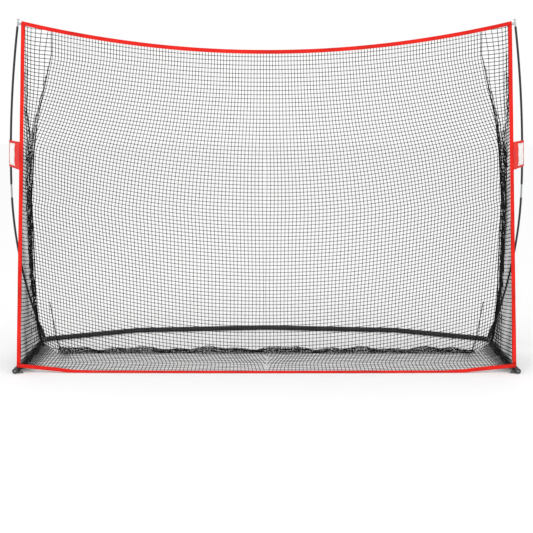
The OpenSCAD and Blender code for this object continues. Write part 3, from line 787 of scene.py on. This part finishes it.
def makeFloor():
    # the first few columns of each half start from the middle line, part of the way back
    positions = [floorNet["pitch"] * -2.5]
    while positions[-1] < sideX - 0.002:
        narrow = smooth((positions[-1] - 1.38) / 0.09)
        positions.append(positions[-1] + floorNet["pitch"] * (1 - narrow) + floorNet["sidePitch"] * narrow)
    positions = np.array(positions[:-1])
    halves = np.repeat([-1.0, 1.0], len(positions))
    x0 = halves * np.concatenate([positions[::-1], positions])
    # under the tape where it lies flat, behind it where it stands up
    start = edgeBack(x0) - 0.004 * np.cos(lowTapeTilt(x0)) + 0.0028 * np.sin(lowTapeTilt(x0))
    toTube = smooth((abs(x0) - floorNet["cornerFrom"]) / 0.15)
    stop = floorNet["foldY"] + (gatherY - 0.012 - floorNet["foldY"]) * toTube
    rows = int((stop.max() - start.min()) / floorNet["rowPitch"]) + 1
    y = start.min() + np.arange(rows)[:, None] * floorNet["rowPitch"] + 0 * x0[None]
    y = y + 0.006 * np.sin(7 * x0)[None] + 0.004 * np.sin(17 * x0)[None]
    inside = (y > start[None] + 0.004) & (y < stop[None] - 0.003)
    cut = np.zeros_like(inside)
    cut[1:] |= inside[:-1] & ~inside[1:]
    cut[:-1] |= inside[1:] & ~inside[:-1]
    y = np.clip(y, start[None], stop[None])
    t = (y - start[None]) / (stop - start)[None]
    calm = 1 - smooth((abs(x0) - 1.2) / 0.15)[None]
    lean = floorNet["splay"] + floorNet["splaySide"] * abs(x0)[None]
    x = x0[None] + halves[None] * calm * lean * np.clip((t - 0.42) / 0.5, 0, 1)
    x = x + halves[None] * floorNet["middle"] * np.exp(-(x0[None] / 0.16) ** 2) * np.clip(t / 0.6, 0, 1)
    started = x * halves[None] > 0.002
    inside &= started
    cut &= started
    meets = np.zeros_like(inside)  # rows of both halves run on to the middle line
    meets[:, 1:] |= inside[:, :-1] & ~started[:, 1:]
    meets[:, :-1] |= inside[:, 1:] & ~started[:, :-1]
    x = np.where(started, x, 0)
    atSide = smooth((abs(x0) - 1.42) / 0.09)[None]
    z = 0.004 + 0.003 * np.sin(9 * x0[None] + 20 * t) ** 2 + floorNet["climb"] * atSide * smooth(t * 3)
    z = z + lowTapeZ(x0)[None] * (1 - smooth(t * 4)) * 0.9
    parts = newParts()
    addNetting(parts, np.stack([x, y, z], axis=-1), inside, (meets, cut), (0, 0, 1), floorNet["radii"],
               floorNet["knot"])
    piece = finishMesh("netFloor", parts, twineYarn, standsFor=["net_floor"])
    declareNet(piece, floorNet["flat"])


foldOver = {
    "pitch": 0.018,
    "around": 14,
    "turns": 3.4 * math.pi,  # radians that the bunch is rolled through
    "inner": 0.35,
    "halfDepth": 0.034,
    "halfHeight": 0.016,
    "radii": (0.0016, 0.0016),
    "knot": 0.0028,
    "seed": 5,
    "flat": (2.74, 0.40),
    "yarnShare": 0.4,
}


def makeFold():
    # surplus netting that lies bunched along the foot of the back panel
    dice = np.random.default_rng(foldOver["seed"])
    half = floorHalf - 0.006
    x0 = np.linspace(-half, half, int(2 * half / foldOver["pitch"]))
    angle = np.linspace(0, foldOver["turns"], foldOver["around"])
    shrink = np.linspace(1, foldOver["inner"], foldOver["around"])
    swell = 1 + 0.25 * np.sin(13 * x0) + 0.2 * np.sin(31 * x0 + 1)
    wobble = dice.normal(0, 0.0022, (foldOver["around"], len(x0), 2))
    deep = (shrink * np.cos(angle))[:, None] * swell[None]
    high = (1 + (shrink * np.sin(angle))[:, None]) * swell[None]
    y = floorNet["foldY"] + foldOver["halfDepth"] * deep + wobble[..., 0]
    z = foldOver["halfHeight"] * high + wobble[..., 1]
    x = x0[None] + dice.normal(0, 0.004, y.shape)
    grid = np.stack([x, y, np.maximum(z, 0.0025)], axis=-1)
    inside = np.ones(y.shape, bool)
    none = np.zeros_like(inside)
    parts = newParts()
    addNetting(parts, grid, inside, (none, none), (0, 0.3, 1), foldOver["radii"], foldOver["knot"])
    piece = finishMesh("netFold", parts, twineYarn)
    declareNet(piece, foldOver["flat"])


makeFloor()
makeFold()
makeBack()
makeGore()
makeGather()
print("netting made")


band = {"turn": 6, "between": 3}  # steps round each edge of a tape, and points along each face
stitch = {"length": 0.0042, "pitch": 0.0060, "radius": 0.00038, "proud": 0.0005, "sunk": 0.0002}


def bandSection(width, thick):
    # points round a flat tape with rounded edges, as (across, through)
    inner = np.linspace(-0.5, 0.5, band["between"] + 2)[1:-1] * (width - thick)
    points = []
    for flip in (1, -1):
        angles = np.radians(np.linspace(-90, 90, band["turn"] + 1))
        edge = np.stack([(width - thick + thick * np.cos(angles)) / 2, thick * np.sin(angles) / 2], axis=-1)
        face = np.stack([inner[::-1], np.full(len(inner), thick / 2)], axis=-1)
        points += [edge * flip, face * flip]
    return np.concatenate(points)


def addBand(parts, middle, across, through, width, thick):
    # a tape along middle; across and through are unit directions at each point
    section = bandSection(width, thick)
    rings = middle[:, None] + section[None, :, :1] * across[:, None] + section[None, :, 1:] * through[:, None]
    count = len(section)
    index = parts["count"] + np.arange(len(middle) * count).reshape(len(middle), count)
    turned = np.roll(index, -1, axis=1)
    handed = np.dot(np.cross(across[0], through[0]), middle[1] - middle[0]) > 0
    quads = np.stack([index[:-1], turned[:-1], turned[1:], index[1:]], axis=-1).reshape(-1, 4)
    caps = [index[0][::-1].tolist(), index[-1].tolist()]
    if not handed:
        quads = quads[:, ::-1]
        caps = [cap[::-1] for cap in caps]
    length = np.concatenate([[0], np.cumsum(np.linalg.norm(np.diff(middle, axis=0), axis=1))])
    uv = np.stack(np.broadcast_arrays(length[:, None], section[None, :, 0]), axis=-1)
    parts["uv"].append(uv.reshape(-1, 2))
    parts["points"].append(rings.reshape(-1, 3))
    parts["faces"] += quads.tolist() + caps
    parts["count"] += index.size


def addStitches(parts, line, normal):
    # lockstitch along line: short threads that stand proud of the cloth
    steps = np.concatenate([[0], np.cumsum(np.linalg.norm(np.diff(line, axis=0), axis=1))])
    lift = np.array([-stitch["sunk"], stitch["proud"], -stitch["sunk"]])[:, None]
    for start in np.arange(stitch["pitch"] / 2, steps[-1] - stitch["length"], stitch["pitch"]):
        at = np.array([start, start + stitch["length"] / 2, start + stitch["length"]])
        path = np.stack([np.interp(at, steps, line[:, k]) for k in range(3)], axis=-1)
        facing = np.stack([np.interp(at, steps, normal[:, k]) for k in range(3)], axis=-1)
        addStrand(parts, path + facing * lift, stitch["radius"], facing[1])


def makeTape(name, middle, across, through, node):
    parts = newParts()
    addBand(parts, middle, across, through, tape["width"], tape["thick"])
    piece = finishMesh(name, parts, tapeWeave, standsFor=[node])
    threads = newParts()
    for face in (-1, 1):
        for offset in tape["stitchLines"]:
            line = middle + across * tape["width"] * offset + through * face * tape["thick"] / 2
            addStitches(threads, line, through * face)
    stitching = finishMesh(name + ".stitching", threads, redThread)


def makeTapes():
    # along the top, sagging; the edge away from the netting is the upper one
    x = np.linspace(-topHalf + 0.001, topHalf - 0.001, 161)
    middle = np.stack([x, topY + tape["waver"] * np.sin(23 * x), topEdge(x) - tape["width"] / 2], axis=-1)
    along = unit(np.gradient(middle, axis=0))
    through = np.tile((0.0, -1.0, 0.0), (len(x), 1))
    makeTape("tapeTop", middle, unit(np.cross(along, through)), through, "binding_top")
    for side, sign in sides.items():
        z = np.linspace(sideTapeLow[2] - 0.005, sideTapeHigh[2], 121)
        edge = sideEdge(z)
        edge[:, 0] = (edge[:, 0] - tape["width"] / 2) * sign
        edge[:, 1] += tape["thick"] / 2 + 0.8 * tape["waver"] * np.sin(19 * z)
        across = np.tile((float(sign), 0.0, 0.0), (len(z), 1))
        through = unit(np.cross(across, unit(np.gradient(edge, axis=0)))) * sign
        makeTape("tapeSide." + side, edge, across, through, "binding_" + side)
    # along the ground: it lies back on the floor, and stands on edge towards the caps
    x = np.linspace(-lowHalf + 0.001, lowHalf - 0.001, 161)
    tilt = lowTapeTilt(x)
    up = np.stack([0 * x, np.cos(tilt), np.sin(tilt)], axis=-1)
    thick = np.stack([0 * x, -np.sin(tilt), np.cos(tilt)], axis=-1)
    foot = np.stack([x, lowTapeY(x) + np.sin(tilt) * tape["thick"], lowTapeZ(x)], axis=-1)
    middle = foot + up * tape["width"] / 2 + thick * tape["thick"] / 2
    makeTape("tapeBottom", middle, up, thick, "binding_bottom")


makeTapes()
print("tape made")


tab = {
    "thick": 0.002,
    "height": 0.174,
    "bulge": 0.004,
    "waver": 0.0012,
    "hem": 0.55,  # the hemmed edge's thickness, as a share
    # stitch lines as shares of length and height: from, to
    "stitches": ((0.03, 0.05, 0.03, 0.95), (0.045, 0.05, 0.045, 0.95), (0.97, 0.05, 0.97, 0.95),
                 (0.03, 0.05, 0.97, 0.05), (0.03, 0.95, 0.97, 0.95)),
}
patch = {
    "fromPole": 0.024,
    "long": 0.175,
    "high": 0.142,
    "thick": 0.0007,
    "lift": 0.0004,  # of the stitches above the patch's middle
    "stitches": ((0.04, 0.04, 0.96, 0.04), (0.04, 0.96, 0.96, 0.96), (0.04, 0.04, 0.04, 0.96),
                 (0.96, 0.04, 0.96, 0.96)),
}
flap = {
    "thick": 0.0018,
    "stitches": ((0.06, 0.06, 0.06, 0.94), (0.06, 0.06, 0.94, 0.06), (0.06, 0.94, 0.94, 0.94),
                 (0.55, 0.06, 0.55, 0.94)),
}
sleeve = {"inner": 0.0074, "thick": 0.002, "around": 32, "rings": 26, "pucker": 0.0004}


def clothCorners(node, sign):
    # a cloth solid's four ends, mirrored to the right: nearest the tape, then the pole, each low and high
    points = np.array([v.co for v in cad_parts[node].data.vertices]) * (sign, 1, 1)
    keys = [points[:, 1] * towards + points[:, 2] * rise for towards in (1, -1) for rise in (3, -3)]
    return np.array([points[np.argsort(key)[:2]].mean(axis=0) for key in keys])


def addSheet(parts, surface, through, thick, uv):
    # a closed sheet whose middle layer is surface, a grid of points
    rows, columns = surface.shape[:2]
    layers = []
    for face in (1, -1):
        layers.append(parts["count"] + np.arange(rows * columns).reshape(rows, columns))
        parts["points"].append((surface + face * thick / 2 * through).reshape(-1, 3))
        parts["uv"].append(uv.reshape(-1, 2))
        parts["count"] += rows * columns
    front, back = layers
    direct = np.dot(np.cross(surface[0, 1] - surface[0, 0], surface[1, 0] - surface[0, 0]), through) > 0
    rings = [np.concatenate([layer[0, :-1], layer[:-1, -1], layer[-1, :0:-1], layer[:0:-1, 0]])
             for layer in layers]
    quads = np.concatenate([
        np.stack([front[:-1, :-1], front[:-1, 1:], front[1:, 1:], front[1:, :-1]], axis=-1).reshape(-1, 4),
        np.stack([back[:-1, :-1], back[1:, :-1], back[1:, 1:], back[:-1, 1:]], axis=-1).reshape(-1, 4),
        np.stack([rings[0], rings[1], np.roll(rings[1], -1), np.roll(rings[0], -1)], axis=-1),
    ])
    parts["faces"] += (quads if direct else quads[:, ::-1]).tolist()


def addCloth(parts, corner, through, thick, bulge, acrossSteps, upSteps):
    # cloth between four corners, with a soft bulge and thin hems
    s = np.linspace(0, 1, acrossSteps)[None, :, None]
    t = np.linspace(0, 1, upSteps)[:, None, None]
    flat = ((1 - s) * (1 - t) * corner[0] + (1 - s) * t * corner[1]
            + s * (1 - t) * corner[2] + s * t * corner[3])
    swell = bulge * np.sin(math.pi * s) * np.sin(math.pi * np.clip(t, 0.02, 0.98))
    swell = swell + tab["waver"] * np.sin(9 * s + 14 * t)
    surface = flat + swell * np.sin(math.pi * s) ** 0.5 * through
    rim = np.ones((upSteps, acrossSteps, 1))
    rim[0] = rim[-1] = tab["hem"]
    length, height = np.linalg.norm(corner[2] - corner[0]), np.linalg.norm(corner[1] - corner[0])
    uv = np.concatenate([s * length + 0 * t, t * height + 0 * s], axis=-1)
    addSheet(parts, surface, through, thick * rim, uv)
    return surface


def gridLine(surface, s0, t0, s1, t1, count=60):
    # a straight line over the cloth, in shares of its length and height
    rows, columns = surface.shape[:2]
    s = np.linspace(s0, s1, count) * (columns - 1)
    t = np.linspace(t0, t1, count) * (rows - 1)
    a, b = np.clip(s.astype(int), 0, columns - 2), np.clip(t.astype(int), 0, rows - 2)
    fs, ft = (s - a)[:, None], (t - b)[:, None]
    return ((surface[b, a] * (1 - fs) + surface[b, a + 1] * fs) * (1 - ft)
            + (surface[b + 1, a] * (1 - fs) + surface[b + 1, a + 1] * fs) * ft)


def addSeams(name, surface, through, lines, lift, faces=(1, -1), body=root):
    threads = newParts()
    for face in faces:
        for line in lines:
            path = gridLine(surface, *line)
            outward = np.tile(through * face, (len(path), 1))
            addStitches(threads, path + outward * lift, outward)
    return finishMesh(name, threads, redThread, body=body)


def makeTabs():
    for side, sign in sides.items():
        corner = clothCorners("side_tab_" + side, sign)
        run = unit((corner[2] - corner[0]) * (1, 1, 0))
        mirror = np.array([sign, 1, 1])
        through = np.array([run[1], -run[0], 0]) * mirror
        parts = newParts()
        surface = addCloth(parts, corner * mirror, through, tab["thick"], tab["bulge"], 30, 14)
        piece = finishMesh("tab." + side, parts, tabWeave, standsFor=["side_tab_" + side])
        stitching = addSeams("tab.stitching." + side, surface, through, tab["stitches"], tab["thick"] / 2)
        length = float(np.linalg.norm(corner[2] - corner[0]) + np.linalg.norm(corner[3] - corner[1])) / 2
        makePatch(side, surface, through, length)
        makeSleeve(side)
        makeFlap(side, sign)


def makePatch(side, tabSurface, through, length):
    # a plain white woven patch near the pole, on the outward face
    near, far = 1 - patch["fromPole"] / length, 1 - (patch["fromPole"] + patch["long"]) / length
    margin = (1 - patch["high"] / tab["height"]) / 2
    rows = [gridLine(tabSurface, far, t, near, t, 40) for t in np.linspace(margin, 1 - margin, 30)]
    surface = np.array(rows) + through * (tab["thick"] / 2 + patch["thick"])
    down = np.linalg.norm(surface - surface[:1], axis=-1)
    along = np.linalg.norm(surface - surface[:, :1], axis=-1)
    parts = newParts()
    addSheet(parts, surface, through, patch["thick"], np.stack([along, down], axis=-1))
    piece = finishMesh("tab.patch." + side, parts, patchWeave)
    stitching = addSeams("tab.patch.stitching." + side, surface, through, patch["stitches"], patch["lift"],
                         faces=(1,))


def poleLine(side, low, high, count):
    # the middle of the upper pole between two heights, from the pole's own vertices
    points = np.array([v.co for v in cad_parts["upper_pole_" + side].data.vertices])
    levels = np.linspace(points[:, 2].min() + 0.004, points[:, 2].max() - 0.004, 24)
    centres = np.array([points[np.argsort(abs(points[:, 2] - level))[:80]].mean(axis=0) for level in levels])
    fits = [np.polyfit(centres[:, 2], centres[:, k], 2) for k in (0, 1)]
    heights = np.linspace(low, high, count)
    return np.stack([np.polyval(fits[0], heights), np.polyval(fits[1], heights), heights], axis=-1)


def makeSleeve(side):
    low, high = boxOf("tab_sleeve_" + side)
    line = poleLine(side, low[2] + 0.002, high[2] - 0.002, sleeve["rings"])
    angle = np.linspace(0, 2 * math.pi, sleeve["around"], endpoint=False)
    pucker = sleeve["pucker"] * np.sin(5 * angle)[None] * np.sin(np.arange(len(line)) * 0.9)[:, None]
    parts = newParts()
    layers = []
    for radius, puckered in ((sleeve["inner"], 0), (sleeve["inner"] + sleeve["thick"], 1)):
        grow = radius + puckered * pucker
        ring = line[:, None] + np.stack([grow * np.cos(angle), grow * np.sin(angle), 0 * grow], axis=-1)
        layers.append(parts["count"] + np.arange(grow.size).reshape(grow.shape))
        parts["points"].append(ring.reshape(-1, 3))
        uv = np.stack(np.broadcast_arrays(line[:, None, 2], (angle * radius)[None]), axis=-1)
        parts["uv"].append(uv.reshape(-1, 2))
        parts["count"] += grow.size
    inner, outer = layers
    turned = [np.roll(layer, -1, axis=1) for layer in layers]
    walls = [
        np.stack([outer[:-1], turned[1][:-1], turned[1][1:], outer[1:]], axis=-1),
        np.stack([inner[1:], turned[0][1:], turned[0][:-1], inner[:-1]], axis=-1),
        np.stack([turned[0][0], turned[1][0], outer[0], inner[0]], axis=-1),
        np.stack([inner[-1], outer[-1], turned[1][-1], turned[0][-1]], axis=-1),
    ]
    for wall in walls:
        parts["faces"] += wall.reshape(-1, 4).tolist()
    piece = finishMesh("tab.sleeve." + side, parts, tabWeave, standsFor=["tab_sleeve_" + side])


def makeFlap(side, sign):
    # the fastening flap, which turns beside the pole
    body = "tab_flap_" + side
    mirror = np.array([sign, 1, 1])
    corner = clothCorners(body, sign)
    through = unit(np.cross(unit(corner[2] - corner[0]), (0, 0, 1))) * mirror
    parts = newParts()
    surface = addCloth(parts, corner * mirror, through, flap["thick"], 0.0, 14, 12)
    piece = finishMesh("tab.flap." + side, parts, tabWeave, body=body, standsFor=[body])
    stitching = addSeams("tab.flap.stitching." + side, surface, through, flap["stitches"], flap["thick"] / 2,
                         body=body)


makeTabs()
print("tabs made")


loop = {"thick": 0.0018, "width": 0.017, "inner": 0.0043, "open": 0.35, "points": 28, "overlap": 0.004}
strap = {
    "thick": 0.0022,
    "turns": 26,
    "inner": 0.0123,
    "widthShare": 0.92,  # of the strap's own solid
    "from": -70,
    "to": 250,
    # the tail, which lies on the ground under the tape's corner: inward, back and up from the cap's middle
    "tail": ((0.018, 0.001, -0.0105), (0.030, 0.002, -0.0100), (0.044, 0.004, -0.0128)),
}


def makeWebbing(name, line, across, width, thick, material, node):
    through = unit(np.cross(unit(np.gradient(line, axis=0)), across))
    parts = newParts()
    addBand(parts, line, across, through, width, thick)
    piece = finishMesh(name, parts, material, standsFor=[node])


def makeLoops():
    for side, sign in sides.items():
        low, high = boxOf("top_loop_" + side)
        pin = np.array([v.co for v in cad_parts["tip_pin_" + side].data.vertices])
        top = pin[pin[:, 2] > pin[:, 2].max() - 0.004].mean(axis=0)
        foot = pin[pin[:, 2] < pin[:, 2].min() + 0.004].mean(axis=0)
        axis = unit(top - foot)
        centre = foot + axis * ((low[2] + high[2]) / 2 - foot[2]) / axis[2]
        inward = unit(np.cross(axis, np.cross((-sign, 0, 0), axis)))
        forward = np.cross(axis, inward)
        angle = np.linspace(loop["open"], 2 * math.pi - loop["open"], loop["points"])
        ring = np.cos(angle)[:, None] * inward + np.sin(angle)[:, None] * forward
        ring *= loop["inner"] + loop["thick"] / 2
        out = inward * (abs(centre[0]) - topHalf + loop["overlap"])
        ends = [out + forward * 0.0011, out * 0.6 + forward * 0.0013]
        back = [out * 0.6 - forward * 0.0013, out - forward * 0.0011]
        line = centre + np.array(ends + ring.tolist() + back)
        across = np.tile(axis, (len(line), 1))
        makeWebbing("loop." + side, line, across, loop["width"], loop["thick"], loopWeave, "top_loop_" + side)


def makeStraps():
    for side, sign in sides.items():
        low, high = boxOf("corner_strap_" + side)
        capLow, capHigh = boxOf("end_cap_" + side)
        centre = np.array([(capLow[0] + capHigh[0]) / 2, (low[1] + high[1]) / 2, capHigh[2] / 2])
        angle = np.radians(np.linspace(strap["from"], strap["to"], strap["turns"]))
        ring = np.stack([sign * np.cos(angle), 0 * angle, np.sin(angle)], axis=-1)
        ring *= strap["inner"] + strap["thick"] / 2
        tail = np.array(strap["tail"]) * (-sign, 1, 1)
        line = centre + np.concatenate([ring, tail])
        along = unit(np.gradient(line, axis=0))
        across = np.tile((0.0, 1.0, 0.0), (len(line), 1))
        across = unit(across - along * (across * along).sum(axis=1)[:, None])
        width = float(high[1] - low[1]) * strap["widthShare"]
        makeWebbing("strap." + side, line, across, width, strap["thick"], webWeave, "corner_strap_" + side)


makeLoops()
makeStraps()
print("webbing made")


def makeStudio():
    # painted studio floor: matt white, and nearly as light as the room round it
    floorPaint = newMaterial("paintedStudioFloor", light["floor"], {"Roughness": 0.9})[0]
    half = light["floorSize"] / 2
    mesh = bpy.data.meshes.new("floor")
    corners = [(-half, -half, 0), (half, -half, 0), (half, half, 0), (-half, half, 0)]
    mesh.from_pydata(corners, [], [(0, 1, 2, 3)])
    mesh.materials.append(floorPaint)
    floor = bpy.data.objects.new("floor", mesh)
    floor.location.z = -light["floorDrop"]
    bpy.context.scene.collection.objects.link(floor)
    world = bpy.data.worlds.new("studio")
    world.use_nodes = True
    background = world.node_tree.nodes["Background"]
    background.inputs["Color"].default_value = (1, 1, 1, 1)
    background.inputs["Strength"].default_value = light["world"]
    bpy.context.scene.world = world
    for name, (place, watts) in light["lamps"].items():
        data = bpy.data.lights.new(name, "AREA")
        data.energy = watts
        data.size = light["lampSize"]
        lamp = bpy.data.objects.new(name, data)
        lamp.location = place
        aim = np.array(light["aim"]) - np.array(place)
        tilt = math.atan2(math.hypot(aim[0], aim[1]), -aim[2])
        lamp.rotation_euler = (tilt, 0, math.atan2(aim[0], -aim[1]) + math.pi)
        bpy.context.scene.collection.objects.link(lamp)


makeStudio()
print("studio made")

bpy.context.view_layer.update()
